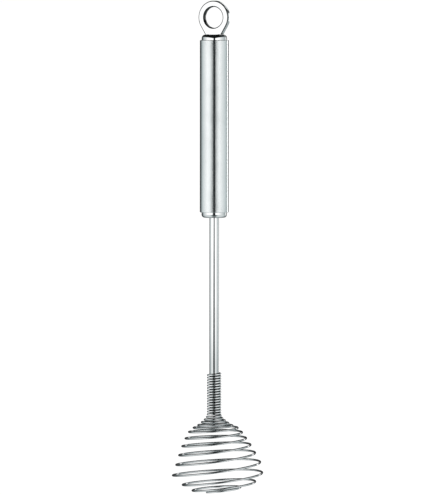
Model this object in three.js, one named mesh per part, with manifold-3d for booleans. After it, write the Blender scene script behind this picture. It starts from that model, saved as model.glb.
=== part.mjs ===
// Spiral whisk: a hanging ring, a plugged tube handle, a shaft, and one wire wound into a spring head.
// Millimetres, +Z up along the shaft, origin at the centre of the hanging eye, the ring's face towards -Y.
import * as THREE from "three";
import { mergeVertices } from "three/addons/utils/BufferGeometryUtils.js";
import Module from "manifold-3d";

// Hanging ring: a flat plate with a round eye, a foot on the top plug and a tongue in the plug's slot
const EYE_DIAMETER = 13.8;
const RING_DIAMETER = 22;
const RING_THICKNESS = 3.5;
const RING_EDGE = 1;
const EYE_HEIGHT = 11.6;
const FOOT_WIDTH = 12.2;
const TONGUE_WIDTH = 8;
const TONGUE_LENGTH = 6;

// Handle: a tube closed by two plugs that stand a little proud of its ends
const TUBE_DIAMETER = 19;
const TUBE_WALL = 1;
const TUBE_LENGTH = 113.4;
const TUBE_EDGE = 0.4;
const PLUG_DEPTH = 12;
const PLUG_LEAD_IN = 0.5;
const TOP_RIM_HEIGHT = 3.3;
const TOP_RIM_ROUND = 1.7;
const BOTTOM_RIM_HEIGHT = 3.5;
const BOTTOM_RIM_ROUND = 1.7;

// Shaft: from the inner face of the bottom plug, through its bore, to just past the neck of the head
const SHAFT_DIAMETER = 6.3;
const SHAFT_DROP = 129.4;
const SHAFT_TIP = 1;
const SHAFT_EDGE = 0.5;

// Wire: a close collar round the shaft, then the spiral head
const WIRE_DIAMETER = 1.3;
const COLLAR_PITCH = 1.73;
const COLLAR_TURNS = 15.28;
const HEAD_TURNS = 14.17;
const HEAD_OPENING = 2.4;
const WIRE_START = 45.5;

// Head profile below the neck: radius of the wire's centre, and drop
const NECK_FLARE = 1.3;
const NECK_DROP = 3;
const FLARE_RADIUS = 10.9;
const FLARE_DROP = 7.6;
const SHOULDER_RADIUS = 16.5;
const SHOULDER_DROP = 11;
const UPPER_SIDE_RADIUS = 22.5;
const UPPER_SIDE_DROP = 21.2;
const LOWER_SIDE_RADIUS = 26.9;
const LOWER_SIDE_DROP = 31.4;
const BELLY_RADIUS = 29.6;
const BELLY_DROP = 40.4;
const TURN_IN_RADIUS = 20.4;
const TURN_IN_DROP = 48.4;
const END_RADIUS = 9.8;
const END_DROP = 51;

// The free head stands a little off the shaft's line: it bends away below the neck, then runs straight,
// and the turn that closes it below the belly stands a little further aside
const HEAD_LEAN = 5.4;
const HEAD_BEND = 24.6;
const LEAN_TOWARDS = 27.5;
const LAST_TURN_SHIFT = 2.1;

// Clearances
const PRESS_FIT = 0.15;
const WRAP_FIT = 0.25;

// Facets
const ROUND_SIDES = 48;
const SHAFT_SIDES = 32;
const RING_ARC_STEPS = 24;
const RING_EDGE_STEPS = 3;
const EDGE_STEPS = 3;
const WIRE_SIDES = 6;
const COLLAR_STEPS = 14;
const HEAD_STEPS = 24;
const PROFILE_STEPS = 400;
const GAP_STEPS = 60;
const MERGE_DISTANCE = 1e-4;

// Heights along the axis, from the eye down
const topFace = -EYE_HEIGHT;
const tubeTop = topFace - TOP_RIM_HEIGHT;
const tubeBottom = tubeTop - TUBE_LENGTH;
const bottomFace = tubeBottom - BOTTOM_RIM_HEIGHT;
const neck = bottomFace - SHAFT_DROP;

// Radii that follow from what fits in or round what
const tubeRadius = TUBE_DIAMETER / 2;
const tubeBore = tubeRadius - TUBE_WALL;
const plugRadius = tubeBore - PRESS_FIT;
const shaftRadius = SHAFT_DIAMETER / 2;
const wireRadius = WIRE_DIAMETER / 2;
const collarRadius = shaftRadius + WRAP_FIT + wireRadius;

const UP = new THREE.Vector3(0, 0, 1);

const wasm = await Module();
wasm.setup();

// A closed geometry as a solid for cutting
function toSolid(geometry) {
  const bare = geometry.clone();
  bare.deleteAttribute("normal");
  bare.deleteAttribute("uv");
  const merged = mergeVertices(bare, MERGE_DISTANCE);
  const mesh = new wasm.Mesh({
    numProp: 3,
    vertProperties: new Float32Array(merged.attributes.position.array),
    triVerts: new Uint32Array(merged.index.array),
  });
  return new wasm.Manifold(mesh);
}

// A cut solid back as a geometry
function toGeometry(solid) {
  const { vertProperties, triVerts } = solid.getMesh();
  const geometry = new THREE.BufferGeometry();
  geometry.setAttribute("position", new THREE.BufferAttribute(vertProperties, 3));
  geometry.setIndex(new THREE.BufferAttribute(triVerts, 1));
  geometry.computeVertexNormals();
  return geometry;
}

// A closed profile of [radius, height] points, turned about the Z axis
function turned(profile, sides) {
  const points = profile.map(([radius, height]) => new THREE.Vector2(radius, height));
  return new THREE.LatheGeometry(points, sides).rotateX(Math.PI / 2);
}

// Quarter round on a profile about [radius, height], from one angle to another in degrees
function rounded(radius, height, size, from, to) {
  const points = [];
  for (let i = 0; i <= EDGE_STEPS; i++) {
    const angle = THREE.MathUtils.degToRad(from + ((to - from) * i) / EDGE_STEPS);
    points.push([radius + size * Math.cos(angle), height + size * Math.sin(angle)]);
  }
  return points;
}

// Ring plate, drawn face on: the flanks leave the round tangentially and run straight to the foot
function ringGeometry() {
  const radius = RING_DIAMETER / 2;
  const foot = topFace + PRESS_FIT;
  const halfFoot = FOOT_WIDTH / 2;
  const halfTongue = TONGUE_WIDTH / 2;
  const tongueEnd = topFace - TONGUE_LENGTH;
  const tangent = Math.atan2(foot, halfFoot) + Math.acos(radius / Math.hypot(foot, halfFoot));

  const outline = new THREE.Shape();
  outline.moveTo(halfTongue, tongueEnd);
  outline.lineTo(halfTongue, foot);
  outline.lineTo(halfFoot, foot);
  outline.absarc(0, 0, radius, tangent, Math.PI - tangent, false);
  outline.lineTo(-halfFoot, foot);
  outline.lineTo(-halfTongue, foot);
  outline.lineTo(-halfTongue, tongueEnd);
  outline.closePath();

  const eye = new THREE.Path();
  eye.absarc(0, 0, EYE_DIAMETER / 2, 0, 2 * Math.PI, true);
  outline.holes.push(eye);

  const plate = new THREE.ExtrudeGeometry(outline, {
    depth: RING_THICKNESS - 2 * RING_EDGE,
    bevelThickness: RING_EDGE,
    bevelSize: RING_EDGE,
    bevelOffset: -RING_EDGE,
    bevelSegments: RING_EDGE_STEPS,
    curveSegments: RING_ARC_STEPS,
  });
  return plate.translate(0, 0, RING_EDGE - RING_THICKNESS / 2).rotateX(Math.PI / 2);
}

// Top plug: a turned disc with a rounded rim, slotted for the ring's tongue
function topPlugGeometry() {
  const inner = tubeTop - PLUG_DEPTH;
  const disc = turned(
    [
      [0, inner],
      [plugRadius - PLUG_LEAD_IN, inner],
      [plugRadius, inner + PLUG_LEAD_IN],
      ...rounded(plugRadius - TOP_RIM_ROUND, topFace - TOP_RIM_ROUND, TOP_RIM_ROUND, 0, 90),
      [0, topFace],
    ],
    ROUND_SIDES,
  );
  const slotDepth = TONGUE_LENGTH + PRESS_FIT;
  const slot = new THREE.BoxGeometry(
    TONGUE_WIDTH + 2 * PRESS_FIT,
    RING_THICKNESS + 2 * PRESS_FIT,
    2 * slotDepth,
  ).translate(0, 0, topFace);
  return toGeometry(toSolid(disc).subtract(toSolid(slot)));
}

// Handle tube, open at both ends, its outer edges rounded over
function tubeGeometry() {
  const edge = tubeRadius - TUBE_EDGE;
  return turned(
    [
      [tubeBore, tubeBottom],
      ...rounded(edge, tubeBottom + TUBE_EDGE, TUBE_EDGE, -90, 0),
      ...rounded(edge, tubeTop - TUBE_EDGE, TUBE_EDGE, 0, 90),
      [tubeBore, tubeTop],
      [tubeBore, tubeBottom],
    ],
    ROUND_SIDES,
  );
}

// Bottom plug: a turned disc with a well rounded lower rim, bored for the shaft
function bottomPlugGeometry() {
  const bore = shaftRadius + PRESS_FIT;
  const inner = tubeBottom + PLUG_DEPTH;
  return turned(
    [
      [bore, bottomFace],
      ...rounded(
        plugRadius - BOTTOM_RIM_ROUND,
        bottomFace + BOTTOM_RIM_ROUND,
        BOTTOM_RIM_ROUND,
        -90,
        0,
      ),
      [plugRadius, inner - PLUG_LEAD_IN],
      [plugRadius - PLUG_LEAD_IN, inner],
      [bore, inner],
      [bore, bottomFace],
    ],
    ROUND_SIDES,
  );
}

// Shaft, a rod with broken edges
function shaftGeometry() {
  const top = tubeBottom + PLUG_DEPTH;
  const tip = neck - SHAFT_TIP;
  return turned(
    [
      [0, tip],
      [shaftRadius - SHAFT_EDGE, tip],
      [shaftRadius, tip + SHAFT_EDGE],
      [shaftRadius, top - SHAFT_EDGE],
      [shaftRadius - SHAFT_EDGE, top],
      [0, top],
    ],
    SHAFT_SIDES,
  );
}

// The head's profile as a smooth curve of radius against drop
const headProfile = new THREE.SplineCurve([
  new THREE.Vector2(collarRadius, 0),
  new THREE.Vector2(collarRadius + NECK_FLARE, NECK_DROP),
  new THREE.Vector2(FLARE_RADIUS, FLARE_DROP),
  new THREE.Vector2(SHOULDER_RADIUS, SHOULDER_DROP),
  new THREE.Vector2(UPPER_SIDE_RADIUS, UPPER_SIDE_DROP),
  new THREE.Vector2(LOWER_SIDE_RADIUS, LOWER_SIDE_DROP),
  new THREE.Vector2(BELLY_RADIUS, BELLY_DROP),
  new THREE.Vector2(TURN_IN_RADIUS, TURN_IN_DROP),
  new THREE.Vector2(END_RADIUS, END_DROP),
]);
headProfile.arcLengthDivisions = PROFILE_STEPS;

// Each turn is set further along the profile than the turn above it, by a step that grows down the head
const profileLength = headProfile.getLength();
const turnGrowth = (profileLength - COLLAR_PITCH * HEAD_TURNS) / HEAD_TURNS ** HEAD_OPENING;

// Where the head's own axis is at a drop below the neck: sideways, down, and its lean there
function headAxis(drop) {
  const lean = THREE.MathUtils.degToRad(HEAD_LEAN);
  const bendRadius = HEAD_BEND / lean;
  const bent = Math.min(drop, HEAD_BEND);
  const straight = drop - bent;
  const angle = bent / bendRadius;
  const closing = THREE.MathUtils.clamp((drop - BELLY_DROP) / (END_DROP - BELLY_DROP), 0, 1);
  const shift = LAST_TURN_SHIFT * Math.sin(Math.PI * closing) ** 2;
  return {
    aside: bendRadius * (1 - Math.cos(angle)) + straight * Math.sin(angle) + shift,
    down: bendRadius * Math.sin(angle) + straight * Math.cos(angle),
    angle,
  };
}

// Centre of the wire after a number of turns from its upper end
function wirePoint(turns) {
  const towards = THREE.MathUtils.degToRad(LEAN_TOWARDS);
  const swing = THREE.MathUtils.degToRad(WIRE_START) - towards - 2 * Math.PI * turns;
  const headTurns = turns - COLLAR_TURNS;
  if (headTurns <= 0) {
    const height = neck - headTurns * COLLAR_PITCH;
    return new THREE.Vector3(collarRadius * Math.cos(swing), collarRadius * Math.sin(swing), height)
      .applyAxisAngle(UP, towards);
  }
  const along = COLLAR_PITCH * headTurns + turnGrowth * headTurns ** HEAD_OPENING;
  const { x: radius, y: drop } = headProfile.getPointAt(Math.min(along / profileLength, 1));
  const axis = headAxis(drop);
  const outward = radius * Math.cos(swing);
  return new THREE.Vector3(
    axis.aside + outward * Math.cos(axis.angle),
    radius * Math.sin(swing),
    neck - axis.down + outward * Math.sin(axis.angle),
  ).applyAxisAngle(UP, towards);
}

// The wire's centre line: collar, head, and a straight cut end of one diameter at each end
function wirePath() {
  const points = [];
  const collarCount = Math.round(COLLAR_TURNS * COLLAR_STEPS);
  const headCount = Math.round(HEAD_TURNS * HEAD_STEPS);
  for (let i = 0; i < collarCount; i++) points.push(wirePoint((COLLAR_TURNS * i) / collarCount));
  for (let i = 0; i <= headCount; i++) points.push(wirePoint(COLLAR_TURNS + (HEAD_TURNS * i) / headCount));
  points.unshift(cutEnd(points[1], points[0]));
  points.push(cutEnd(points.at(-2), points.at(-1)));
  return points;
}

// The point one wire diameter past the last, straight on from the one before it
function cutEnd(before, last) {
  return last.clone().sub(before).setLength(WIRE_DIAMETER).add(last);
}

// The wire as one closed tube, its section held square to the path and turned to the axis
function wireGeometry(path) {
  const positions = [];
  const indices = [];
  path.forEach((centre, i) => {
    const ahead = path[Math.min(i + 1, path.length - 1)];
    const behind = path[Math.max(i - 1, 0)];
    const along = ahead.clone().sub(behind).normalize();
    const side = new THREE.Vector3(centre.x, centre.y, 0);
    side.addScaledVector(along, -side.dot(along)).normalize();
    const across = along.clone().cross(side);
    for (let k = 0; k < WIRE_SIDES; k++) {
      const angle = (2 * Math.PI * k) / WIRE_SIDES;
      const corner = centre.clone()
        .addScaledVector(side, wireRadius * Math.cos(angle))
        .addScaledVector(across, wireRadius * Math.sin(angle));
      positions.push(corner.x, corner.y, corner.z);
    }
  });
  for (let i = 0; i < path.length - 1; i++) {
    for (let k = 0; k < WIRE_SIDES; k++) {
      const a = i * WIRE_SIDES + k;
      const b = i * WIRE_SIDES + ((k + 1) % WIRE_SIDES);
      indices.push(a, b, b + WIRE_SIDES, a, b + WIRE_SIDES, a + WIRE_SIDES);
    }
  }
  const lastRing = (path.length - 1) * WIRE_SIDES;
  for (let k = 1; k < WIRE_SIDES - 1; k++) {
    indices.push(0, k + 1, k);
    indices.push(lastRing, lastRing + k, lastRing + k + 1);
  }
  const geometry = new THREE.BufferGeometry();
  geometry.setAttribute("position", new THREE.Float32BufferAttribute(positions, 3));
  geometry.setIndex(indices);
  geometry.computeVertexNormals();
  return geometry;
}

// Least clear gap between one turn of the wire and another, measured on points of its centre line
function leastGap() {
  const count = Math.round((COLLAR_TURNS + HEAD_TURNS) * GAP_STEPS);
  const points = [];
  for (let i = 0; i <= count; i++) points.push(wirePoint(i / GAP_STEPS));
  let least = Infinity;
  for (let i = 0; i < points.length; i++) {
    for (let j = i + GAP_STEPS / 2; j < points.length; j++) {
      least = Math.min(least, points[i].distanceTo(points[j]));
    }
  }
  return least - WIRE_DIAMETER;
}
console.log("least gap between turns of the wire " + leastGap().toFixed(3) + " mm");

// Finishes
const polished = { color: 0xd6dada, roughness: 0.12, metalness: 1 };
const satin = { color: 0xb9bfbe, roughness: 0.32, metalness: 1 };

function piece(name, geometry, finish) {
  const mesh = new THREE.Mesh(geometry, new THREE.MeshStandardMaterial(finish));
  mesh.name = name;
  return mesh;
}

const handle = new THREE.Group();
handle.add(
  piece("hanging_ring", ringGeometry(), polished),
  piece("top_plug", topPlugGeometry(), polished),
  piece("handle_tube", tubeGeometry(), satin),
  piece("bottom_plug", bottomPlugGeometry(), polished),
  piece("shaft", shaftGeometry(), polished),
);

const spiral = new THREE.Group();
spiral.add(piece("spiral_wire", wireGeometry(wirePath()), polished));

const whisk = new THREE.Group();
whisk.add(handle, spiral);

export default whisk;
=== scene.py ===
"""Spiral whisk in stainless steel: a hanging ring, a plugged tube handle, a shaft and a wire head."""

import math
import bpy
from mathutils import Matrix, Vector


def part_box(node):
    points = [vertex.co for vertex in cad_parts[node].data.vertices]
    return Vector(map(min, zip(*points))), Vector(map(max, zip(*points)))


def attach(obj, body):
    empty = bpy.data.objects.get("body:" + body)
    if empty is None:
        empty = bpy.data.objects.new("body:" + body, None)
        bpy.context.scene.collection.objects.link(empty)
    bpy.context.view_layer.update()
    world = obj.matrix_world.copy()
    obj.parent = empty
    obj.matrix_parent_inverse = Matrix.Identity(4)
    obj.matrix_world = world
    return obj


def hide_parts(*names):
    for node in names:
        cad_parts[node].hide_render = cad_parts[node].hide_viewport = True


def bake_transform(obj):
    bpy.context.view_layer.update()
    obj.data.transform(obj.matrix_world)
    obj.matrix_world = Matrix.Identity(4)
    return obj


bl_info = {
    "name": "Spiral Whisk",
    "version": (1, 0, 0),
    "blender": (4, 5, 0),
    "location": "View3D > Sidebar > Whisk",
    "description": "Builds a steel spiral whisk around its packed model, with a plain studio stage",
    "category": "Add Mesh",
}

import bmesh
import bpy
from bpy.props import FloatProperty, FloatVectorProperty, IntProperty, PointerProperty
from mathutils import Quaternion, Vector

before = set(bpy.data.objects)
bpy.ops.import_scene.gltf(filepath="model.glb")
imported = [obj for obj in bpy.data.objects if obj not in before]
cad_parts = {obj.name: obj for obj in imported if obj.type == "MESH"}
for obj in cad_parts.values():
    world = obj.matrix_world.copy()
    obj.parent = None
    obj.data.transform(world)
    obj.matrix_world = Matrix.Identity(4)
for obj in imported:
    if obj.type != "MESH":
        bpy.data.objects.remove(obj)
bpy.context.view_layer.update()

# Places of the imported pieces
RING_LOW, RING_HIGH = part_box("hanging_ring")
PLUG_LOW, PLUG_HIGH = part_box("top_plug")
TUBE_LOW, TUBE_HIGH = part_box("handle_tube")
END_LOW, END_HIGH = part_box("bottom_plug")
SHAFT_LOW, SHAFT_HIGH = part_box("shaft")
WIRE_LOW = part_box("spiral_wire")[0]

RING_RADIUS = (RING_HIGH.x - RING_LOW.x) / 2
RING_THICKNESS = RING_HIGH.y - RING_LOW.y
PLUG_RADIUS = (PLUG_HIGH.x - PLUG_LOW.x) / 2
TUBE_RADIUS = (TUBE_HIGH.x - TUBE_LOW.x) / 2
SHAFT_RADIUS = (SHAFT_HIGH.x - SHAFT_LOW.x) / 2

# Fineness of the meshes: faces round a piece, steps in an edge, and points that keep a long run flat
TURNED_SIDES = 128
EDGE_STEPS = 8
SUPPORT = 0.00012
LONG_RUN = 4 * SUPPORT
SHARP_ANGLE = math.radians(32)
QUARTER_TURN = math.pi / 2
FULL_TURN = 2 * math.pi

# Small edges that don't show much, and the radius at which a turned end closes, in metres
LEAD_IN = 0.0005
PLUG_BORE_EDGE = 0.0002
TUBE_BORE_EDGE = 0.0001
END_RADIUS = 0.001


class RingSettings(bpy.types.PropertyGroup):
    """Sizes of the flat hanging ring"""

    eye_diameter: FloatProperty(
        name="Eye Diameter",
        description="Width of the round hole that the whisk hangs by",
        default=0.0138,
        min=0.004,
        max=0.018,
        unit="LENGTH",
        precision=4,
    )
    foot_width: FloatProperty(
        name="Foot Width",
        description="Width of the ring's neck where it stands on the top plug",
        default=0.0122,
        min=0.009,
        max=0.016,
        unit="LENGTH",
        precision=4,
    )
    tongue_width: FloatProperty(
        name="Tongue Width",
        description="Width of the tongue that is held in the top plug's slot",
        default=0.008,
        min=0.003,
        max=0.0085,
        unit="LENGTH",
        precision=4,
    )
    edge_round: FloatProperty(
        name="Edge Rounding",
        description="How far the rounded edges reach across the ring's flat faces",
        default=0.00075,
        min=0.0001,
        max=0.0016,
        unit="LENGTH",
        precision=4,
    )
    edge_drop: FloatProperty(
        name="Edge Drop",
        description="How far the rounded edges reach down the ring's walls",
        default=0.00045,
        min=0.0001,
        max=0.0016,
        unit="LENGTH",
        precision=4,
    )


class HandleSettings(bpy.types.PropertyGroup):
    """Sizes of the tube handle, its two plugs and the shaft"""

    tube_wall: FloatProperty(
        name="Tube Wall",
        description="Thickness of the handle tube's wall",
        default=0.001,
        min=0.0004,
        max=0.003,
        unit="LENGTH",
        precision=4,
    )
    tube_edge: FloatProperty(
        name="Tube Edge Rounding",
        description="Radius of the handle tube's outer edges",
        default=0.0004,
        min=0.0001,
        max=0.0009,
        unit="LENGTH",
        precision=4,
    )
    top_round: FloatProperty(
        name="Top Plug Rounding",
        description="Radius of the top plug's upper edge",
        default=0.0023,
        min=0.0002,
        max=0.003,
        unit="LENGTH",
        precision=4,
    )
    bottom_round: FloatProperty(
        name="Bottom Plug Rounding",
        description="Radius of the bottom plug's lower edge",
        default=0.002,
        min=0.0002,
        max=0.003,
        unit="LENGTH",
        precision=4,
    )
    fit_gap: FloatProperty(
        name="Fit Gap",
        description="Clearance that shows as a fine line between pieces pressed into each other",
        default=0.00015,
        min=0.00005,
        max=0.0005,
        unit="LENGTH",
        precision=5,
    )
    shaft_edge: FloatProperty(
        name="Shaft Edge Rounding",
        description="Radius of the shaft's end edges",
        default=0.0005,
        min=0.0001,
        max=0.002,
        unit="LENGTH",
        precision=4,
    )


class WireSettings(bpy.types.PropertyGroup):
    """Sizes of the one wire that makes the collar and the spiral head"""

    diameter: FloatProperty(
        name="Wire Diameter",
        description="Thickness of the spring wire",
        default=0.00135,
        min=0.0006,
        max=0.0016,
        unit="LENGTH",
        precision=4,
    )
    collar_turns: FloatProperty(
        name="Collar Turns",
        description="Turns wound close round the shaft",
        default=15.28,
        min=2.0,
        max=30.0,
    )
    collar_pitch: FloatProperty(
        name="Collar Pitch",
        description="Height from one turn of the collar to the next",
        default=0.00173,
        min=0.0014,
        max=0.004,
        unit="LENGTH",
        precision=5,
    )
    head_turns: FloatProperty(
        name="Head Turns",
        description="Turns of the open spiral head",
        default=14.17,
        min=4.0,
        max=20.0,
    )
    head_opening: FloatProperty(
        name="Head Opening",
        description="How fast the steps from turn to turn grow down the head",
        default=2.4,
        min=1.2,
        max=4.0,
    )
    lean: FloatProperty(
        name="Head Lean",
        description="Angle by which the head leans from the shaft's line",
        default=math.radians(5.4),
        min=0.0,
        max=math.radians(12),
        subtype="ANGLE",
    )
    lean_towards: FloatProperty(
        name="Lean Towards",
        description="Direction of the lean, about the shaft",
        default=math.radians(27.5),
        subtype="ANGLE",
    )
    start: FloatProperty(
        name="Wire Start",
        description="Direction in which the collar's upper wire end lies, about the shaft",
        default=math.radians(45.5),
        subtype="ANGLE",
    )
    sides: IntProperty(
        name="Wire Sides",
        description="Faces round the wire",
        default=14,
        min=6,
        max=32,
    )


class FinishSettings(bpy.types.PropertyGroup):
    """Colours and polish of the steel finishes"""

    polished_colour: FloatVectorProperty(
        name="Polished Steel",
        description="Colour of the ring, plugs and shaft",
        default=(0.76, 0.77, 0.77),
        min=0.0,
        max=1.0,
        subtype="COLOR",
    )
    satin_colour: FloatVectorProperty(
        name="Satin Steel",
        description="Colour of the handle tube",
        default=(0.86, 0.88, 0.88),
        min=0.0,
        max=1.0,
        subtype="COLOR",
    )
    wire_colour: FloatVectorProperty(
        name="Wire Steel",
        description="Colour of the spring wire",
        default=(0.95, 0.96, 0.965),
        min=0.0,
        max=1.0,
        subtype="COLOR",
    )
    ring_roughness: FloatProperty(
        name="Ring Roughness",
        description="Roughness of the ring where it is cleanest",
        default=0.15,
        min=0.0,
        max=1.0,
        subtype="FACTOR",
    )
    polished_roughness: FloatProperty(
        name="Polished Roughness",
        description="Roughness of the plugs and the shaft where they are cleanest",
        default=0.03,
        min=0.0,
        max=1.0,
        subtype="FACTOR",
    )
    satin_roughness: FloatProperty(
        name="Satin Roughness",
        description="Roughness of the handle tube where it is cleanest",
        default=0.2,
        min=0.0,
        max=1.0,
        subtype="FACTOR",
    )
    wire_roughness: FloatProperty(
        name="Wire Roughness",
        description="Roughness of the wire where it is cleanest",
        default=0.06,
        min=0.0,
        max=1.0,
        subtype="FACTOR",
    )


class StageSettings(bpy.types.PropertyGroup):
    """Camera, floor and studio light"""

    view_azimuth: FloatProperty(
        name="View Azimuth",
        description="Direction that the camera looks from, about the whisk",
        default=math.radians(27.5),
        subtype="ANGLE",
    )
    view_elevation: FloatProperty(
        name="View Elevation",
        description="Height of the camera above the whisk's middle, as an angle",
        default=math.radians(2.6),
        subtype="ANGLE",
    )
    view_roll: FloatProperty(
        name="View Roll",
        description="Turn of the camera about its line of sight",
        default=math.radians(0.04),
        subtype="ANGLE",
    )
    view_distance: FloatProperty(
        name="View Distance",
        description="Distance from the camera to the whisk's middle",
        default=3.4,
        min=0.5,
        max=10.0,
        unit="LENGTH",
    )
    view_height: FloatProperty(
        name="View Height",
        description="Height of what the picture takes in at the whisk",
        default=0.3262,
        min=0.1,
        max=2.0,
        unit="LENGTH",
        precision=4,
    )
    aim_height: FloatProperty(
        name="Aim Height",
        description="Height of the point that the camera looks at",
        default=-0.1515,
        unit="LENGTH",
        precision=4,
    )
    aim_aside: FloatProperty(
        name="Aim Aside",
        description="How far the camera looks to the right of the shaft's line",
        default=0.00217,
        unit="LENGTH",
        precision=5,
    )
    floor_drop: FloatProperty(
        name="Floor Drop",
        description="Height of the whisk's lowest turn above the floor",
        default=0.12,
        min=0.0,
        max=1.0,
        unit="LENGTH",
        precision=3,
    )
    floor_colour: FloatVectorProperty(
        name="Floor Colour",
        description="Colour of the pale floor",
        default=(0.9, 0.9, 0.9),
        min=0.0,
        max=1.0,
        subtype="COLOR",
    )


def new_object(name, mesh):
    """The mesh as a piece in the scene, shaded smooth with its true edges kept sharp"""
    work = bmesh.new()
    work.from_mesh(mesh)
    bmesh.ops.recalc_face_normals(work, faces=work.faces)
    work.to_mesh(mesh)
    work.free()
    for face in mesh.polygons:
        face.use_smooth = True
    mesh.set_sharp_from_angle(angle=SHARP_ANGLE)
    piece = bpy.data.objects.new(name, mesh)
    bpy.context.scene.collection.objects.link(piece)
    return piece


def skin(name, loops, wrapped=False):
    """A closed skin over loops of points, wrapped like a ring or capped with a face at both ends"""
    sides = len(loops[0])
    points = [point for loop in loops for point in loop]
    pairs = [(i, i + 1) for i in range(len(loops) - 1)]
    if wrapped:
        pairs.append((len(loops) - 1, 0))
    faces = []
    for first, second in pairs:
        near = first * sides
        far = second * sides
        for k in range(sides):
            after = (k + 1) % sides
            faces.append((near + k, near + after, far + after, far + k))
    if not wrapped:
        last = (len(loops) - 1) * sides
        faces.append(tuple(range(sides)))
        faces.append(tuple(last + k for k in range(sides)))
    mesh = bpy.data.meshes.new(name)
    mesh.from_pydata(points, [], faces)
    return new_object(name, mesh)


def circle(radius, height, sides=TURNED_SIDES):
    """A level circle of points about the shaft's line"""
    turn = FULL_TURN / sides
    return [(radius * math.cos(k * turn), radius * math.sin(k * turn), height) for k in range(sides)]


def oblong(half_x, half_y, height, sides=TURNED_SIDES):
    """A level oblong of points about the shaft's line, at the same angles as a circle's"""
    points = []
    for k in range(sides):
        angle = FULL_TURN * k / sides
        reach = 1 / max(abs(math.cos(angle)) / half_x, abs(math.sin(angle)) / half_y)
        points.append((reach * math.cos(angle), reach * math.sin(angle), height))
    return points


def rounded(corners, wrapped=False):
    """An outline through square corners (across, height, rounding), with its corners turned into arcs"""
    outline = []
    count = len(corners)
    for i, (across, height, radius) in enumerate(corners):
        here = Vector((across, height))
        is_end = not wrapped and i in (0, count - 1)
        if is_end or radius == 0:
            outline.append(here)
            continue
        come = (here - Vector(corners[i - 1][:2])).normalized()
        leave = (Vector(corners[(i + 1) % count][:2]) - here).normalized()
        centre = here - come * radius + leave * radius
        for step in range(EDGE_STEPS + 1):
            bend = QUARTER_TURN * step / EDGE_STEPS
            outline.append(centre - leave * radius * math.cos(bend) + come * radius * math.sin(bend))
    return eased(outline, wrapped)


def eased(outline, wrapped):
    """The outline with a point near each end of its long runs, so that they stay flat when shaded"""
    result = []
    count = len(outline)
    for i, here in enumerate(outline):
        result.append(here)
        if not wrapped and i == count - 1:
            break
        run = outline[(i + 1) % count] - here
        if run.length > LONG_RUN:
            result.append(here + run.normalized() * SUPPORT)
            result.append(here + run - run.normalized() * SUPPORT)
    return result


def turned(name, outline, wrapped=False):
    """A piece turned on the lathe from an outline of (radius, height) points"""
    return skin(name, [circle(point.x, point.y) for point in outline], wrapped)


def link(tree, start, end):
    """Joins two sockets of a node tree"""
    tree.links.new(start, end)


def feed(tree, value, socket):
    """Gives a socket a plain number, or the output of another node"""
    if isinstance(value, (int, float)):
        socket.default_value = value
    else:
        link(tree, value, socket)


def math_node(tree, operation, *values):
    """A math node on sockets or numbers, as its output"""
    node = tree.nodes.new("ShaderNodeMath")
    node.operation = operation
    for value, socket in zip(values, node.inputs):
        feed(tree, value, socket)
    return node.outputs[0]


def product(tree, first, *others):
    """All the values multiplied together"""
    result = first
    for value in others:
        result = math_node(tree, "MULTIPLY", result, value)
    return result


def rest_of(tree, share):
    """What a share leaves of the whole"""
    return math_node(tree, "SUBTRACT", 1.0, share)


def ramp_node(tree, value, start, end, low=0.0, high=1.0, smooth=True):
    """A value that goes from low to high while the given one goes from start to end"""
    node = tree.nodes.new("ShaderNodeMapRange")
    node.interpolation_type = "SMOOTHSTEP" if smooth else "LINEAR"
    node.clamp = True
    link(tree, value, node.inputs["Value"])
    node.inputs["From Min"].default_value = start
    node.inputs["From Max"].default_value = end
    node.inputs["To Min"].default_value = low
    node.inputs["To Max"].default_value = high
    return node.outputs[0]


def band(tree, value, edges):
    """One between the two inner edges, falling to nothing at the outer ones"""
    rise = ramp_node(tree, value, edges[0], edges[1])
    fall = ramp_node(tree, value, edges[2], edges[3], 1.0, 0.0)
    return product(tree, rise, fall)


def vector_node(tree, operation, vector):
    """A vector math node that works on a vector"""
    node = tree.nodes.new("ShaderNodeVectorMath")
    node.operation = operation
    link(tree, vector, node.inputs[0])
    return node


def scaled(tree, colour, level):
    """A colour made brighter or darker by a level"""
    node = vector_node(tree, "SCALE", colour)
    link(tree, level, node.inputs["Scale"])
    return node.outputs[0]


def parts_of(tree, vector):
    """The X, Y and Z of a vector"""
    node = tree.nodes.new("ShaderNodeSeparateXYZ")
    link(tree, vector, node.inputs[0])
    return node.outputs


def place_on_piece(tree):
    """The place on a piece, in metres"""
    return tree.nodes.new("ShaderNodeTexCoord").outputs["Object"]


def noise_node(tree, vector, scale, detail, roughness=0.5):
    """Noise on a vector, as its value"""
    node = tree.nodes.new("ShaderNodeTexNoise")
    link(tree, vector, node.inputs["Vector"])
    feed(tree, scale, node.inputs["Scale"])
    node.inputs["Detail"].default_value = detail
    node.inputs["Roughness"].default_value = roughness
    return node.outputs["Fac"]


# How the shared effects run: parts of a noise, counts a metre, slopes of a face, and lengths in metres
TONE_PATCHES = (0.3, 0.7, -1.0, 1.0)
BROAD_SMEARS = (0.42, 0.7)
BROAD_SHARE = 0.7
FINE_SMEARS = (0.35, 0.75)
FINE_SHARE = 0.3
FINE_PER_METRE = 2600.0
# Painted shade between the collar's turns: how steep a face takes it, and where it fades at the collar's
# foot
TURN_FLANK = (0.7, 0.96)
COLLAR_FOOT = (-0.004, 0.001)
# Fade of the painted shadow on the shaft under the collar
COLLAR_SHADOW_FADE = (0.0, 0.0008)
# Fade of the painted shade on the walls of the ring's eye
BORE_SHADE_FADE = (0.0001, 0.0004, 1.0, 0.0)
# Band of the painted shade along the ring's rounded edges
EDGE_BEND = (0.002, 0.02, 0.6, 1.0)
ACROSS_EYE = (1.0, 0.0, 1.0)
PLAIN_GREY = (0.8, 0.8, 0.8, 1.0)


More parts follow.
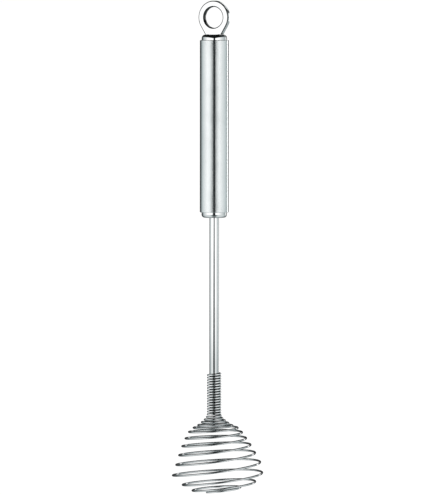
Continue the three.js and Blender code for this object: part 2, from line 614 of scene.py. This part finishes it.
def new_group(name, inputs, outputs):
    """An empty shader node group with named sockets: (name, kind, default)"""
    group = bpy.data.node_groups.new(name, "ShaderNodeTree")
    for label, kind, default in inputs:
        socket = group.interface.new_socket(label, in_out="INPUT", socket_type=kind)
        socket.default_value = default
    for label, kind in outputs:
        group.interface.new_socket(label, in_out="OUTPUT", socket_type=kind)
    source = group.nodes.new("NodeGroupInput")
    target = group.nodes.new("NodeGroupOutput")
    return group, source.outputs, target.inputs


def tone_group(name, values):
    """An empty group that takes a colour and some numbers, and puts out a colour"""
    inputs = [("Colour", "NodeSocketColor", PLAIN_GREY)]
    inputs += [(label, "NodeSocketFloat", value) for label, value in values.items()]
    return new_group(name, inputs, [("Colour", "NodeSocketColor")])


def steel_tone_group():
    """Colour that drifts a little over the steel"""
    group, given, result = tone_group("steel_tone", {"Drift": 0.04, "Patches per Metre": 60.0})
    noise = noise_node(group, place_on_piece(group), given["Patches per Metre"], detail=4.0)
    swing = product(group, ramp_node(group, noise, *TONE_PATCHES), given["Drift"])
    level = math_node(group, "ADD", swing, 1.0)
    link(group, scaled(group, given["Colour"], level), result["Colour"])
    return group


def handling_group():
    """Roughness with faint wiped smears and finger marks"""
    group, given, result = new_group(
        "handling_marks",
        [
            ("Clean", "NodeSocketFloat", 0.06),
            ("Smeared", "NodeSocketFloat", 0.12),
            ("Smears per Metre", "NodeSocketFloat", 90.0),
        ],
        [("Roughness", "NodeSocketFloat")],
    )
    place = place_on_piece(group)
    broad = noise_node(group, place, given["Smears per Metre"], detail=3.0)
    fine = noise_node(group, place, FINE_PER_METRE, detail=2.0)
    smears = product(group, ramp_node(group, broad, *BROAD_SMEARS), BROAD_SHARE)
    fingers = product(group, ramp_node(group, fine, *FINE_SMEARS), FINE_SHARE)
    marks = math_node(group, "ADD", smears, fingers)
    spread = math_node(group, "SUBTRACT", given["Smeared"], given["Clean"])
    rough = math_node(group, "ADD", given["Clean"], product(group, marks, spread))
    link(group, rough, result["Roughness"])
    return group


def grain_group():
    """Height of fine polishing lines, drawn out by a different count of lines a metre on each axis"""
    group, given, result = new_group(
        "polishing_lines",
        [("Lines per Metre", "NodeSocketVector", (40.0, 40.0, 7000.0))],
        [("Height", "NodeSocketFloat")],
    )
    drawn = vector_node(group, "MULTIPLY", place_on_piece(group))
    link(group, given["Lines per Metre"], drawn.inputs[1])
    noise = noise_node(group, drawn.outputs[0], scale=1.0, detail=3.0, roughness=0.6)
    link(group, noise, result["Height"])
    return group


def turn_shade_group():
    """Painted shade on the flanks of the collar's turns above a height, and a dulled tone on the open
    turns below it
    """
    group, given, result = tone_group("turn_shade_and_dulling", {"Depth": 0.9, "Dulling": 0.2, "Lowest": -0.26})
    normal = group.nodes.new("ShaderNodeNewGeometry").outputs["Normal"]
    flank = ramp_node(group, math_node(group, "ABSOLUTE", parts_of(group, normal)["Z"]), *TURN_FLANK)
    height = parts_of(group, place_on_piece(group))["Z"]
    packed = ramp_node(group, math_node(group, "SUBTRACT", height, given["Lowest"]), *COLLAR_FOOT)
    dark = product(group, flank, packed, given["Depth"])
    dulled = product(group, rest_of(group, packed), given["Dulling"])
    level = rest_of(group, math_node(group, "ADD", dark, dulled))
    link(group, scaled(group, given["Colour"], level), result["Colour"])
    return group


def collar_shadow_group():
    """Painted shadow that darkens below a given height, where the shaft lies under the wound collar"""
    group, given, result = tone_group("painted_collar_shadow", {"Depth": 0.95, "Top": -0.235})
    height = parts_of(group, place_on_piece(group))["Z"]
    below = math_node(group, "SUBTRACT", given["Top"], height)
    level = rest_of(group, product(group, ramp_node(group, below, *COLLAR_SHADOW_FADE), given["Depth"]))
    link(group, scaled(group, given["Colour"], level), result["Colour"])
    return group


def bore_shade_group():
    """Painted shade that darkens inside the ring's eye, within a given distance of the eye's axis"""
    group, given, result = tone_group("painted_bore_shade", {"Depth": 0.9, "Radius": 0.007})
    flat = vector_node(group, "MULTIPLY", place_on_piece(group))
    flat.inputs[1].default_value = ACROSS_EYE
    reach = vector_node(group, "LENGTH", flat.outputs[0]).outputs["Value"]
    outside = math_node(group, "SUBTRACT", reach, given["Radius"])
    level = rest_of(group, product(group, ramp_node(group, outside, *BORE_SHADE_FADE), given["Depth"]))
    link(group, scaled(group, given["Colour"], level), result["Colour"])
    return group


def edge_shade_group():
    """Painted shade that dims along the ring's rounded edges, between its faces and its walls"""
    group, given, result = tone_group("painted_edge_shade", {"Depth": 0.9, "Face": 0.00175, "Width": 0.0006})
    aside = math_node(group, "ABSOLUTE", parts_of(group, place_on_piece(group))["Y"])
    below = math_node(group, "SUBTRACT", given["Face"], aside)
    bend = math_node(group, "DIVIDE", below, given["Width"])
    level = rest_of(group, product(group, band(group, bend, EDGE_BEND), given["Depth"]))
    link(group, scaled(group, given["Colour"], level), result["Colour"])
    return group


EFFECTS = {
    "steel_tone": steel_tone_group,
    "handling_marks": handling_group,
    "polishing_lines": grain_group,
    "turn_shade_and_dulling": turn_shade_group,
    "painted_collar_shadow": collar_shadow_group,
    "painted_bore_shade": bore_shade_group,
    "painted_edge_shade": edge_shade_group,
}


def place_group(tree, name, values):
    """A shared effect in a material, with its own values, made the first time that it is asked for"""
    node = tree.nodes.new("ShaderNodeGroup")
    node.node_tree = bpy.data.node_groups.get(name) or EFFECTS[name]()
    for label, value in values.items():
        node.inputs[label].default_value = value
    return node


def steel_material(name, colour, clean, edge_tint, drift, smear, lines, line_depth, line_strength):
    """A steel finish: drifting tone, handling marks in its polish and fine lines in its surface"""
    found = bpy.data.materials.get(name)
    if found:
        return found
    material = bpy.data.materials.new(name)
    material.use_nodes = True
    tree = material.node_tree
    shader = tree.nodes["Principled BSDF"]
    shader.inputs["Metallic"].default_value = 1.0
    shader.inputs["Specular Tint"].default_value = (edge_tint, edge_tint, edge_tint, 1.0)
    tone = place_group(tree, "steel_tone", {"Colour": (*colour, 1.0), "Drift": drift})
    link(tree, tone.outputs["Colour"], shader.inputs["Base Color"])
    marks = place_group(tree, "handling_marks", {"Clean": clean, "Smeared": clean + smear})
    link(tree, marks.outputs["Roughness"], shader.inputs["Roughness"])
    grain = place_group(tree, "polishing_lines", {"Lines per Metre": lines})
    bump = tree.nodes.new("ShaderNodeBump")
    bump.inputs["Strength"].default_value = line_strength
    bump.inputs["Distance"].default_value = line_depth
    link(tree, grain.outputs["Height"], bump.inputs["Height"])
    link(tree, bump.outputs["Normal"], shader.inputs["Normal"])
    return material


def add_painted_shade(material, name, values):
    """Puts an effect that paints shade into the colour, between a finish's tone and its shader"""
    tree = material.node_tree
    if any(node.type == "GROUP" and node.node_tree.name == name for node in tree.nodes):
        return
    colour = tree.nodes["Principled BSDF"].inputs["Base Color"]
    tone = colour.links[0].from_socket
    effect = place_group(tree, name, values)
    link(tree, tone, effect.inputs["Colour"])
    link(tree, effect.outputs["Colour"], colour)


def bright_polish(name, colour, clean, edge_tint):
    """A bright polish with next to no lines"""
    return steel_material(
        name,
        colour,
        clean,
        edge_tint,
        drift=0.02,
        smear=0.04,
        lines=(900.0, 900.0, 500.0),
        line_depth=0.00002,
        line_strength=0.02,
    )


def ring_steel(finish):
    """Bright polish of the ring, with painted shade in its eye and along its edges"""
    ring = bpy.context.scene.whisk_ring
    material = bright_polish("ring_finish", finish.polished_colour, finish.ring_roughness, edge_tint=0.6)
    # Painted shade on the walls of the ring's eye
    add_painted_shade(material, "painted_bore_shade", {"Radius": ring.eye_diameter / 2})
    # Painted shade along the ring's rounded edges
    add_painted_shade(material, "painted_edge_shade", {"Face": RING_THICKNESS / 2, "Width": ring.edge_drop})
    return material


def polished_steel(finish):
    """Bright polish of the plugs and the shaft, with painted shadow on the shaft under the collar"""
    clean = finish.polished_roughness
    material = bright_polish("polished_finish", finish.polished_colour, clean, edge_tint=0.0)
    wire = bpy.context.scene.whisk_wire
    collar_top = SHAFT_LOW.z + SHAFT_TIP + wire.collar_turns * wire.collar_pitch
    # Painted shadow on the shaft where the collar's turns cover it
    add_painted_shade(material, "painted_collar_shadow", {"Top": collar_top})
    return material


def satin_steel(finish):
    """Satin of the handle tube, with fine lines round its girth"""
    material = steel_material(
        "satin_finish",
        finish.satin_colour,
        finish.satin_roughness,
        edge_tint=0.15,
        drift=0.025,
        smear=0.04,
        lines=(45.0, 45.0, 6500.0),
        line_depth=0.00002,
        line_strength=0.03,
    )
    shader = material.node_tree.nodes["Principled BSDF"]
    shader.inputs["Anisotropic"].default_value = 1.0
    shader.inputs["Anisotropic Rotation"].default_value = 0.25
    return material


def wire_steel(finish):
    """Drawn finish of the spring wire, with painted shade between the collar's turns"""
    material = steel_material(
        "wire_finish",
        finish.wire_colour,
        finish.wire_roughness,
        edge_tint=0.05,
        drift=0.05,
        smear=0.08,
        lines=(420.0, 420.0, 2600.0),
        line_depth=0.00003,
        line_strength=0.03,
    )
    # Painted shade between the collar's turns, and a dulled tone on the head's open turns
    add_painted_shade(material, "turn_shade_and_dulling", {"Lowest": SHAFT_LOW.z})
    return material


def settle(piece, node, body, material):
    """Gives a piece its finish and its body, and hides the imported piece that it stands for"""
    piece.data.materials.append(material)
    if body:
        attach(piece, body)
    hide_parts(node)
    return piece


# Ring's outline: points on its arc and its straight runs, lift of its foot, and its rise for an inset
ARC_STEPS = 112
RUN_STEPS = (16, 6, 4, 10, 4, 6, 16)
FOOT_LIFT = 0.0004
FOOT_RISE = 0.15


def ring_outline(settings, inset):
    """Outline of the ring, its tapering neck and its tongue, drawn in by an inset: (across, height)"""
    radius = RING_RADIUS - inset
    foot = PLUG_HIGH.z + FOOT_LIFT
    half_foot = settings.foot_width / 2
    half_tongue = settings.tongue_width / 2 - inset
    reach = math.hypot(half_foot, foot)
    tangent = math.atan2(foot, half_foot) + math.acos(RING_RADIUS / reach)
    sweep = math.pi - 2 * tangent
    points = []
    for step in range(ARC_STEPS + 1):
        angle = tangent + sweep * step / ARC_STEPS
        points.append(Vector((radius * math.cos(angle), radius * math.sin(angle))))
    seat = foot + inset * FOOT_RISE
    corner = (radius - math.sin(tangent) * seat) / math.cos(tangent)
    tongue_end = RING_LOW.z + inset
    left = [
        points[-1],
        Vector((-corner, seat)),
        Vector((-half_tongue, seat)),
        Vector((-half_tongue, tongue_end)),
    ]
    right = [Vector((-point.x, point.y)) for point in reversed(left)]
    chain = left + right
    for start, end, count in zip(chain, chain[1:], RUN_STEPS):
        for step in range(1, count + 1):
            points.append(start.lerp(end, step / count))
    return points[:-1]


class WHISK_OT_ring(bpy.types.Operator):
    """Makes the flat polished hanging ring with its round eye"""

    bl_idname = "whisk.ring"
    bl_label = "Hanging Ring"

    def execute(self, context):
        settings = context.scene.whisk_ring
        edge = settings.edge_round
        drop = settings.edge_drop
        half = RING_THICKNESS / 2
        eye = settings.eye_diameter / 2
        angles = [math.atan2(point.y, point.x) for point in ring_outline(settings, 0.0)]
        bends = [QUARTER_TURN * step / EDGE_STEPS for step in range(EDGE_STEPS + 1)]
        brink = [(edge * (1 - math.cos(bend)), half - drop + drop * math.sin(bend)) for bend in bends]
        brink.append((edge + SUPPORT, half))

        def outer_loop(inset, depth):
            return [(point.x, depth, point.y) for point in ring_outline(settings, inset)]

        def eye_loop(inset, depth):
            wide = eye + inset
            return [(wide * math.cos(angle), depth, wide * math.sin(angle)) for angle in angles]

        loops = [outer_loop(inset, -depth) for inset, depth in brink]
        loops += [eye_loop(inset, -depth) for inset, depth in reversed(brink)]
        loops += [eye_loop(inset, depth) for inset, depth in brink]
        loops += [outer_loop(inset, depth) for inset, depth in reversed(brink)]
        piece = skin("polished_ring", loops, wrapped=True)
        settle(piece, "hanging_ring", "handle", ring_steel(context.scene.whisk_finish))
        return {"FINISHED"}


# Top plug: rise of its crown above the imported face, and where its level face starts outside the slot
CROWN_RISE = 0.0003
CROWN_START = 1.15


class WHISK_OT_plugs(bpy.types.Operator):
    """Makes the two polished plugs that close the handle tube"""

    bl_idname = "whisk.plugs"
    bl_label = "Handle Plugs"

    def execute(self, context):
        scene = context.scene
        handle = scene.whisk_handle
        finish = polished_steel(scene.whisk_finish)
        gap = handle.fit_gap
        slot_x = scene.whisk_ring.tongue_width / 2 + gap
        slot_y = RING_THICKNESS / 2 + gap
        slot_end = RING_LOW.z - gap
        crown = PLUG_HIGH.z + CROWN_RISE
        sides = rounded(
            [
                (slot_x * CROWN_START, crown, 0),
                (PLUG_RADIUS, crown, handle.top_round),
                (PLUG_RADIUS, PLUG_LOW.z, LEAD_IN),
                (END_RADIUS, PLUG_LOW.z, 0),
            ]
        )
        loops = [oblong(slot_x, slot_y, slot_end), oblong(slot_x, slot_y, crown)]
        loops += [circle(point.x, point.y) for point in sides]
        top = skin("polished_top_plug", loops)
        settle(top, "top_plug", "handle", finish)

        bore = SHAFT_RADIUS + gap
        outline = rounded(
            [
                (bore, END_LOW.z, PLUG_BORE_EDGE),
                (PLUG_RADIUS, END_LOW.z, handle.bottom_round),
                (PLUG_RADIUS, END_HIGH.z, LEAD_IN),
                (bore, END_HIGH.z, PLUG_BORE_EDGE),
            ],
            wrapped=True,
        )
        bottom = turned("polished_bottom_plug", outline, wrapped=True)
        settle(bottom, "bottom_plug", "handle", finish)
        return {"FINISHED"}


class WHISK_OT_tube(bpy.types.Operator):
    """Makes the satin handle tube, open at both ends"""

    bl_idname = "whisk.tube"
    bl_label = "Handle Tube"

    def execute(self, context):
        handle = context.scene.whisk_handle
        bore = TUBE_RADIUS - handle.tube_wall
        edge = handle.tube_edge
        outline = rounded(
            [
                (bore, TUBE_LOW.z, TUBE_BORE_EDGE),
                (TUBE_RADIUS, TUBE_LOW.z, edge),
                (TUBE_RADIUS, TUBE_HIGH.z, edge),
                (bore, TUBE_HIGH.z, TUBE_BORE_EDGE),
            ],
            wrapped=True,
        )
        piece = turned("satin_tube", outline, wrapped=True)
        settle(piece, "handle_tube", "handle", satin_steel(context.scene.whisk_finish))
        return {"FINISHED"}


class WHISK_OT_shaft(bpy.types.Operator):
    """Makes the polished shaft from the bottom plug to the head's neck"""

    bl_idname = "whisk.shaft"
    bl_label = "Shaft"

    def execute(self, context):
        edge = context.scene.whisk_handle.shaft_edge
        outline = rounded(
            [
                (END_RADIUS, SHAFT_HIGH.z, 0),
                (SHAFT_RADIUS, SHAFT_HIGH.z, edge),
                (SHAFT_RADIUS, SHAFT_LOW.z, edge),
                (END_RADIUS, SHAFT_LOW.z, 0),
            ]
        )
        piece = turned("polished_shaft", outline)
        settle(piece, "shaft", "handle", polished_steel(context.scene.whisk_finish))
        return {"FINISHED"}


# Side view of the head: distance from its axis and drop below the neck, in metres
NECK_POINT = (0.0013, 0.003)
HEAD_POINTS = [
    (0.0109, 0.0076),
    (0.0165, 0.011),
    (0.0225, 0.0212),
    (0.0269, 0.0314),
    (0.0296, 0.0404),
    (0.0204, 0.0484),
    (0.0098, 0.051),
]
BELLY_DROP = 0.0404
END_DROP = 0.051

# Last turn's shift aside, the head's bend, the shaft's tip below the collar, and the collar's gap and wire
LAST_TURN_SHIFT = 0.0021
HEAD_BEND = 0.0246
SHAFT_TIP = 0.001
WRAP_FIT = 0.00025
PACKED_WIRE = 0.0013

# Steps of the side view and of one turn, and the part of the wire's radius that its cut ends lose
PROFILE_STEPS = 400
COLLAR_STEPS = 40
HEAD_STEPS = 72
CUT_EDGE = 0.25


def spline_point(points, share):
    """A point on a smooth curve through the points"""
    place = share * (len(points) - 1)
    index = min(int(place), len(points) - 2)
    t = place - index
    p1 = points[index]
    p2 = points[index + 1]
    p0 = points[index - 1] if index > 0 else points[0]
    p3 = points[index + 2] if index + 2 < len(points) else points[-1]
    v0 = (p2 - p0) / 2
    v1 = (p3 - p1) / 2
    curve = (2 * p1 - 2 * p2 + v0 + v1) * t**3
    return curve + (-3 * p1 + 3 * p2 - 2 * v0 - v1) * t**2 + v0 * t + p1


class WireLine:
    """The line that the wire's middle follows: a close collar, then a spiral that opens into the head"""

    def __init__(self, settings):
        self.settings = settings
        self.neck = SHAFT_LOW.z + SHAFT_TIP
        self.collar_radius = SHAFT_RADIUS + WRAP_FIT + PACKED_WIRE / 2
        first = Vector((self.collar_radius, 0.0))
        points = [first, first + Vector(NECK_POINT)]
        points += [Vector(point) for point in HEAD_POINTS]
        self.profile = [spline_point(points, i / PROFILE_STEPS) for i in range(PROFILE_STEPS + 1)]
        self.lengths = [0.0]
        for before, after in zip(self.profile, self.profile[1:]):
            self.lengths.append(self.lengths[-1] + (after - before).length)
        turns = settings.head_turns
        self.growth = (self.lengths[-1] - settings.collar_pitch * turns) / turns**settings.head_opening

    def side_view(self, along):
        """Distance from the axis and drop, at a length along the head's side view"""
        low = 0
        high = PROFILE_STEPS
        while high - low > 1:
            middle = (low + high) // 2
            if self.lengths[middle] > along:
                high = middle
            else:
                low = middle
        run = self.lengths[high] - self.lengths[low]
        share = min(max((along - self.lengths[low]) / run, 0.0), 1.0)
        return self.profile[low].lerp(self.profile[high], share)

    def point(self, turns):
        """Place of the wire's middle after so many turns from its upper end"""
        settings = self.settings
        swing = settings.start - settings.lean_towards - FULL_TURN * turns
        head = turns - settings.collar_turns
        if head <= 0:
            x = self.collar_radius * math.cos(swing)
            y = self.collar_radius * math.sin(swing)
            z = self.neck - head * settings.collar_pitch
        else:
            along = settings.collar_pitch * head + self.growth * head**settings.head_opening
            radius, drop = self.side_view(along)
            bend_radius = HEAD_BEND / settings.lean
            bent = min(drop, HEAD_BEND)
            angle = bent / bend_radius
            straight = drop - bent
            closing = min(max((drop - BELLY_DROP) / (END_DROP - BELLY_DROP), 0.0), 1.0)
            aside = bend_radius * (1 - math.cos(angle)) + straight * math.sin(angle)
            aside += LAST_TURN_SHIFT * math.sin(math.pi * closing) ** 2
            down = bend_radius * math.sin(angle) + straight * math.cos(angle)
            outward = radius * math.cos(swing)
            x = aside + outward * math.cos(angle)
            y = radius * math.sin(swing)
            z = self.neck - down + outward * math.sin(angle)
        cos = math.cos(settings.lean_towards)
        sin = math.sin(settings.lean_towards)
        return Vector((x * cos - y * sin, x * sin + y * cos, z))

    def points(self):
        """The whole line, with a short straight cut end at both ends"""
        settings = self.settings
        collar = round(settings.collar_turns * COLLAR_STEPS)
        head = round(settings.head_turns * HEAD_STEPS)
        line = [self.point(settings.collar_turns * i / collar) for i in range(collar)]
        for i in range(head + 1):
            line.append(self.point(settings.collar_turns + settings.head_turns * i / head))
        first = (line[0] - line[1]).normalized()
        last = (line[-1] - line[-2]).normalized()
        reach = settings.diameter
        return [line[0] + first * reach] + line + [line[-1] + last * reach]


class WHISK_OT_wire(bpy.types.Operator):
    """Winds the one wire that makes the collar on the shaft and the open spiral head"""

    bl_idname = "whisk.wire"
    bl_label = "Spiral Wire"

    def execute(self, context):
        settings = context.scene.whisk_wire
        shape = WireLine(settings)
        line = shape.points()
        radius = settings.diameter / 2
        cut = radius * CUT_EDGE
        up = Vector((0, 0, 1))
        places = [(line[0], radius - cut)]
        places.append((line[0] + (line[1] - line[0]).normalized() * cut, radius))
        places += [(point, radius) for point in line[1:-1]]
        places.append((line[-1] + (line[-2] - line[-1]).normalized() * cut, radius))
        places.append((line[-1], radius - cut))
        loops = []
        for i, (middle, wide) in enumerate(places):
            before = places[max(i - 1, 0)][0]
            after = places[min(i + 1, len(places) - 1)][0]
            along = (after - before).normalized()
            across = along.cross(up).normalized()
            over = across.cross(along)
            loop = []
            for k in range(settings.sides):
                angle = FULL_TURN * k / settings.sides
                loop.append(middle + across * (wide * math.cos(angle)) + over * (wide * math.sin(angle)))
            loops.append(loop)
        piece = skin("wound_wire", loops)
        settle(piece, "spiral_wire", None, wire_steel(context.scene.whisk_finish))
        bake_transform(piece)
        return {"FINISHED"}


# Studio that the steel mirrors, in degrees from the camera's side and above the level of the whisk

# Panels: brightness round the whisk, height of their foot, and the slopes at which they taper and end
PANELS = [
    (-180.0, 0.0),
    (-150.0, 0.02),
    (-127.0, 0.32),
    (-112.0, 0.66),
    (-95.0, 0.88),
    (-84.0, 0.98),
    (-74.0, 1.16),
    (-58.0, 1.48),
    (-38.0, 1.54),
    (-12.0, 1.4),
    (-3.6, 0.0),
    (6.0, 0.0),
    (10.0, 1.4),
    (40.0, 1.42),
    (66.0, 0.98),
    (85.0, 0.77),
    (97.0, 0.67),
    (118.5, 0.57),
    (121.5, 0.02),
    (180.0, 0.0),
]
BRIGHTEST = 2.0
PANEL_FOOT = (-5.5, -3.0)
PANEL_HEAD = (0.35, 0.7, 1.0, 0.0)
PANEL_TAPER = (-0.34, -0.14)
LEFT_SLOPE = 1.35
LEAST_REACH = 0.01

# Cards behind the whisk: edges round it, edges in height, and brightness
CARDS = {
    "strip": ((126.2, 128.0, 136.5, 140.5), (-12.0, -7.0, 8.0, 14.0), 3.2),
    "rear right": ((148.0, 158.0, 168.0, 178.0), (2.0, 5.0, 20.0, 30.0), 1.0),
    "rear left": ((-178.0, -168.0, -158.0, -148.0), (2.0, 5.0, 20.0, 30.0), 1.0),
    "high side": ((132.0, 137.0, 166.0, 174.0), (16.0, 20.0, 29.0, 34.0), 1.0),
    "rim": ((119.5, 121.5, 126.2, 128.0), (0.3, 1.0, 8.0, 11.0), 0.55),
}

# Table: its far edge, brightness at the front and the back, a gap in it, and the part under the whisk
TABLE_EDGE = (-3.9, -5.6)
TABLE_FRONT = (4.0, 46.0, 0.03, 0.85)
TABLE_BACK = (84.0, 124.0, 1.0, 0.65)
TABLE_GAP = (-152.0, -146.0, -130.0, -124.0)
GAP_DEPTH = 0.7
UNDER_EDGE = (-22.0, -38.0, 0.0, 0.45)
UNDER_FRONT = (5.0, 60.0, 0.4, 1.0)

# What the dimmest places still give, the tint of dim light and where it fades, and the white behind
DIMMEST = 0.01
DIM_TINT = (0.88, 1.0, 1.02, 1.0)
TINT_FADE = (0.4, 1.25)
WHITE = (1.0, 1.0, 1.0, 1.0)
BACKDROP = (1.04, 1.04, 1.04, 1.0)


def panel_light(tree, azimuth, height, rise):
    """Brightness of the tall panels to the left and the right of the camera"""
    round_whisk = tree.nodes.new("ShaderNodeValToRGB")
    link(tree, ramp_node(tree, azimuth, -180.0, 180.0, smooth=False), round_whisk.inputs["Fac"])
    stops = round_whisk.color_ramp.elements
    while len(stops) < len(PANELS):
        stops.new(0.5)
    for stop, (angle, brightness) in zip(stops, PANELS):
        level = brightness / BRIGHTEST
        stop.position = (angle + 180.0) / 360.0
        stop.color = (level, level, level, 1.0)
    return product(
        tree,
        round_whisk.outputs["Color"],
        BRIGHTEST,
        ramp_node(tree, height, *PANEL_FOOT),
        ramp_node(tree, rise, *PANEL_HEAD),
        ramp_node(tree, rise, *PANEL_TAPER),
    )


def table_light(tree, azimuth, height):
    """Brightness of the pale table below the whisk"""
    aside = math_node(tree, "ABSOLUTE", azimuth)
    table = product(
        tree,
        ramp_node(tree, height, *TABLE_EDGE),
        ramp_node(tree, aside, *TABLE_FRONT),
        ramp_node(tree, aside, *TABLE_BACK),
        rest_of(tree, product(tree, band(tree, azimuth, TABLE_GAP), GAP_DEPTH)),
    )
    under = product(tree, ramp_node(tree, height, *UNDER_EDGE), ramp_node(tree, aside, *UNDER_FRONT))
    return math_node(tree, "MAXIMUM", table, under)


def mirrored_light(tree, stage):
    """Brightness that the steel mirrors in each direction: the table, the panels and the cards"""
    turn = tree.nodes.new("ShaderNodeVectorRotate")
    turn.rotation_type = "Z_AXIS"
    turn.inputs["Angle"].default_value = -stage.view_azimuth
    link(tree, tree.nodes.new("ShaderNodeTexCoord").outputs["Generated"], turn.inputs["Vector"])
    way = parts_of(tree, turn.outputs["Vector"])
    towards = product(tree, way["Y"], -1.0)
    azimuth = math_node(tree, "DEGREES", math_node(tree, "ARCTAN2", way["X"], towards))
    height = math_node(tree, "DEGREES", math_node(tree, "ARCSINE", way["Z"]))
    reach = math_node(tree, "MAXIMUM", math_node(tree, "ABSOLUTE", way["X"]), LEAST_REACH)
    slope = ramp_node(tree, azimuth, -1.0, 1.0, LEFT_SLOPE, 1.0)
    rise = product(tree, math_node(tree, "DIVIDE", way["Z"], reach), slope)
    lights = [table_light(tree, azimuth, height), panel_light(tree, azimuth, height, rise)]
    for around, tall, brightness in CARDS.values():
        lights.append(product(tree, band(tree, azimuth, around), band(tree, height, tall), brightness))
    total = DIMMEST
    for light in lights:
        total = math_node(tree, "ADD", total, light)
    return total


def mix_node(tree, factor, first):
    """A mix of two colours, with its factor and its first colour set"""
    node = tree.nodes.new("ShaderNodeMix")
    node.data_type = "RGBA"
    link(tree, factor, node.inputs["Factor"])
    node.inputs["A"].default_value = first
    return node


def studio_world(stage):
    """White to the camera, with a studio round the whisk for the steel to mirror"""
    world = bpy.data.worlds.new("studio")
    world.use_nodes = True
    world.cycles.sampling_method = "NONE"
    bpy.context.scene.world = world
    tree = world.node_tree
    light = mirrored_light(tree, stage)
    tint = mix_node(tree, ramp_node(tree, light, *TINT_FADE), DIM_TINT)
    tint.inputs["B"].default_value = WHITE
    path = tree.nodes.new("ShaderNodeLightPath")
    shown = mix_node(tree, path.outputs["Is Glossy Ray"], BACKDROP)
    link(tree, scaled(tree, tint.outputs["Result"], light), shown.inputs["B"])
    background = tree.nodes["Background"]
    background.inputs["Strength"].default_value = 1.0
    link(tree, shown.outputs["Result"], background.inputs["Color"])


# Floor: how far it reaches, the white that it shows the camera, and the share of that white
FLOOR_REACH = 3.0
FLOOR_GLOW = 1.15
GLOW_SHARE = 0.6


def floor_material(stage):
    """Pale floor that fades to white for the camera and keeps the whisk's soft shadow"""
    material = bpy.data.materials.new("pale_floor")
    material.use_nodes = True
    tree = material.node_tree
    shader = tree.nodes["Principled BSDF"]
    shader.inputs["Base Color"].default_value = (*stage.floor_colour, 1.0)
    shader.inputs["Roughness"].default_value = 0.9
    shader.inputs["Specular IOR Level"].default_value = 0.1
    glow = tree.nodes.new("ShaderNodeEmission")
    glow.inputs["Color"].default_value = WHITE
    glow.inputs["Strength"].default_value = FLOOR_GLOW
    path = tree.nodes.new("ShaderNodeLightPath")
    share = product(tree, path.outputs["Is Camera Ray"], GLOW_SHARE)
    mix = tree.nodes.new("ShaderNodeMixShader")
    link(tree, share, mix.inputs["Fac"])
    link(tree, shader.outputs["BSDF"], mix.inputs[1])
    link(tree, glow.outputs["Emission"], mix.inputs[2])
    link(tree, mix.outputs[0], tree.nodes["Material Output"].inputs["Surface"])
    return material


# Camera: width of its sensor in millimetres, and the farthest distance that it shows in metres
SENSOR_WIDTH = 36.0
FARTHEST = 50.0


class WHISK_OT_stage(bpy.types.Operator):
    """Sets the pale floor, the studio light and the camera"""

    bl_idname = "whisk.stage"
    bl_label = "Stage"

    def execute(self, context):
        scene = context.scene
        stage = scene.whisk_stage
        scene.view_settings.view_transform = "Standard"
        studio_world(stage)

        level = WIRE_LOW.z - stage.floor_drop
        signs = [(-1, -1), (1, -1), (1, 1), (-1, 1)]
        corners = [(FLOOR_REACH * x, FLOOR_REACH * y, level) for x, y in signs]
        mesh = bpy.data.meshes.new("floor")
        mesh.from_pydata(corners, [], [(0, 1, 2, 3)])
        mesh.materials.append(floor_material(stage))
        floor = bpy.data.objects.new("floor", mesh)
        floor.visible_glossy = False
        scene.collection.objects.link(floor)

        cos = math.cos(stage.view_azimuth)
        sin = math.sin(stage.view_azimuth)
        aim = Vector((0, 0, stage.aim_height)) + Vector((cos, sin, 0)) * stage.aim_aside
        flat = math.cos(stage.view_elevation)
        away = Vector((sin * flat, -cos * flat, math.sin(stage.view_elevation)))
        lens = bpy.data.cameras.new("camera")
        lens.sensor_width = SENSOR_WIDTH
        lens.lens = SENSOR_WIDTH * stage.view_distance / stage.view_height
        lens.clip_end = FARTHEST
        camera = bpy.data.objects.new("camera", lens)
        camera.location = aim + away * stage.view_distance
        upright = (-away).to_track_quat("-Z", "Y")
        camera.rotation_euler = (upright @ Quaternion((0, 0, 1), stage.view_roll)).to_euler()
        scene.collection.objects.link(camera)
        scene.camera = camera
        return {"FINISHED"}


class WHISK_PT_panel(bpy.types.Panel):
    """Lists the whisk's pieces and their settings"""

    bl_label = "Spiral Whisk"
    bl_idname = "WHISK_PT_panel"
    bl_space_type = "VIEW_3D"
    bl_region_type = "UI"
    bl_category = "Whisk"

    def draw(self, context):
        layout = self.layout
        for maker in OPERATORS:
            layout.operator(maker.bl_idname)
        for place, group in SETTINGS.items():
            box = layout.box()
            for name in group.__annotations__:
                box.prop(getattr(context.scene, place), name)


SETTINGS = {
    "whisk_ring": RingSettings,
    "whisk_handle": HandleSettings,
    "whisk_wire": WireSettings,
    "whisk_finish": FinishSettings,
    "whisk_stage": StageSettings,
}
OPERATORS = (
    WHISK_OT_ring,
    WHISK_OT_plugs,
    WHISK_OT_tube,
    WHISK_OT_shaft,
    WHISK_OT_wire,
    WHISK_OT_stage,
)
CLASSES = (*SETTINGS.values(), *OPERATORS, WHISK_PT_panel)


def register():
    """Adds the whisk's classes and their settings to Blender"""
    for kind in CLASSES:
        bpy.utils.register_class(kind)
    for place, group in SETTINGS.items():
        setattr(bpy.types.Scene, place, PointerProperty(type=group))


def unregister():
    """Takes the whisk's classes and their settings out of Blender"""
    for place in SETTINGS:
        delattr(bpy.types.Scene, place)
    for kind in reversed(CLASSES):
        bpy.utils.unregister_class(kind)


def main():
    """Makes the pieces and the stage"""
    register()
    bpy.ops.whisk.ring()
    bpy.ops.whisk.plugs()
    bpy.ops.whisk.tube()
    bpy.ops.whisk.shaft()
    bpy.ops.whisk.wire()
    bpy.ops.whisk.stage()


if __name__ == "__main__":
    main()
